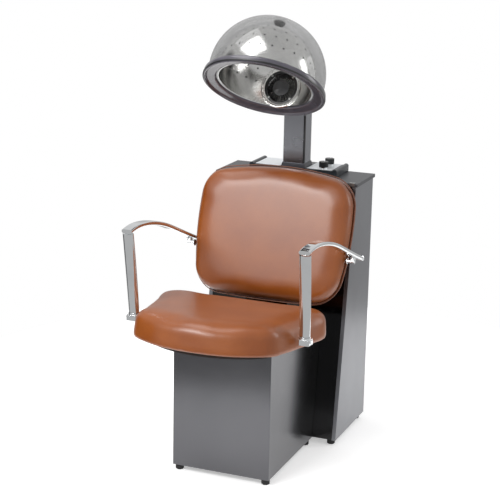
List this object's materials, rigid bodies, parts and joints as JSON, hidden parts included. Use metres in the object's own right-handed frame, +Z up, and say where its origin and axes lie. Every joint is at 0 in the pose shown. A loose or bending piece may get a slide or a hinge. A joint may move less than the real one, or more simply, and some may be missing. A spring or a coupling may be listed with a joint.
{
  "type": "hood dryer chair",
  "caption": "Salon hood dryer chair: padded seat and back with chrome arms on a sheet-steel cabinet, with a post carrying a tilting, height-adjustable perforated hood.",
  "frame": {"origin": "on the floor under the centre of the chair's overall box", "axes": "+Z up, -Y the way the sitter faces, +X to the right of someone looking at the chair's front"},
  "size_m": [0.595, 0.9267, 1.3786],
  "materials": {
    "pedestal_grey": "semi-gloss metallic powder coat",
    "tower_grey": "satin metallic grey powder coat",
    "cover_grey": "satin dark grey powder coat",
    "gloss_black_panel": "gloss black enamel",
    "black_steel": "satin black powder coat",
    "post_grey": "satin metallic grey powder coat",
    "post_grey_dark": "satin dark grey powder coat",
    "black_plastic": "moulded nylon",
    "rubber": "moulded rubber",
    "plywood": "birch plywood",
    "brown_vinyl": "PVC leatherette, soft sheen",
    "brown_vinyl_board": "PVC leatherette over moulded board",
    "zinc_steel": "zinc plated",
    "chrome": "chrome plated steel",
    "satin_steel": "satin steel",
    "console_black": "gloss black ABS",
    "label_white": "printed plastic overlay",
    "knob_black": "moulded phenolic",
    "smoke_dome": "smoke tinted polycarbonate",
    "polished_aluminium": "mirror polished",
    "rim_grey": "semi-gloss moulded ABS",
    "grille_black": "moulded ABS",
    "heater_steel": "sheathed element",
    "motor_steel": "black electrocoat",
    "impeller_white": "moulded nylon"
  },
  "bodies": {
    "cabinet": {"pedestal_shell": "pedestal_grey", "pedestal_top_plate": "black_steel", "pedestal_base_frame": "black_steel", "tower_side_left": "tower_grey", "tower_side_right": "tower_grey", "tower_front_panel": "gloss_black_panel", "tower_back_panel": "tower_grey", "tower_floor": "black_steel", "tower_top_cover": "cover_grey", "cover_corner_clips": "black_plastic", "rubber_feet": "rubber", "seat_board": "plywood", "seat_cushion": "brown_vinyl", "frame_bolts": "zinc_steel", "back_cushion": "brown_vinyl", "back_board": "brown_vinyl_board", "back_supports": "black_steel", "arm_post_left": "chrome", "arm_post_right": "chrome", "arm_rail_left": "chrome", "arm_rail_right": "chrome", "arm_feet": "chrome", "arm_end_caps": "chrome", "rail_stand_offs": "chrome", "arm_bolts": "chrome", "console_tray": "console_black", "console_ends": "console_black", "label_plate_left": "label_white", "label_plate_right": "label_white", "timer_body": "black_plastic", "thermostat_body": "black_plastic", "post_tube": "post_grey", "post_edge_strip": "black_plastic", "post_collar": "post_grey_dark", "post_bushing": "black_plastic", "mains_gland": "black_plastic"},
    "mast": {"mast_tube": "chrome", "mast_slider": "black_plastic", "mast_head": "black_steel", "hinge_pin": "satin_steel"},
    "hood": {"hood_dome": "smoke_dome", "dome_vent_plug": "black_plastic", "inner_bowl": "polished_aluminium", "rim_ring": "rim_grey", "rim_trim": "rubber", "blower_housing": "black_plastic", "intake_grille": "grille_black", "hood_screws": "zinc_steel", "heater_ring": "heater_steel", "blower_motor": "motor_steel", "hood_yoke": "black_steel"},
    "impeller": {"motor_shaft": "satin_steel", "impeller": "impeller_white"},
    "timer": {"timer_shaft": "satin_steel", "timer_knob": "knob_black"},
    "thermostat": {"thermostat_shaft": "satin_steel", "thermostat_knob": "knob_black"},
    "lock": {"lock_screw": "zinc_steel", "lock_knob": "knob_black"}
  },
  "joints": [
    {"name": "mast_lift", "type": "slide", "parent": "cabinet", "child": "mast", "axis": [0, 0, 1], "range_m": [0, 0.18]},
    {"name": "hood_tilt", "type": "hinge", "parent": "mast", "child": "hood", "pos_m": [0, 0.3169, 1.092], "axis": [1, 0, 0], "range_deg": [-15, 33]},
    {"name": "impeller_spin", "type": "hinge", "parent": "hood", "child": "impeller", "pos_m": [0, 0.09364, 1.19865], "axis": [0, 0.9114, -0.4115], "continuous": true},
    {"name": "timer_turn", "type": "hinge", "parent": "cabinet", "child": "timer", "pos_m": [0.097, 0.3679, 0.88], "axis": [0, 0, 1], "range_deg": [-300, 0]},
    {"name": "thermostat_turn", "type": "hinge", "parent": "cabinet", "child": "thermostat", "pos_m": [0.097, 0.4279, 0.88], "axis": [0, 0, 1], "range_deg": [-270, 0]},
    {"name": "lock_turn", "type": "hinge", "parent": "cabinet", "child": "lock", "pos_m": [0, 0.4219, 1.016], "axis": [0, 1, 0], "range_deg": [-180, 0]}
  ]
}
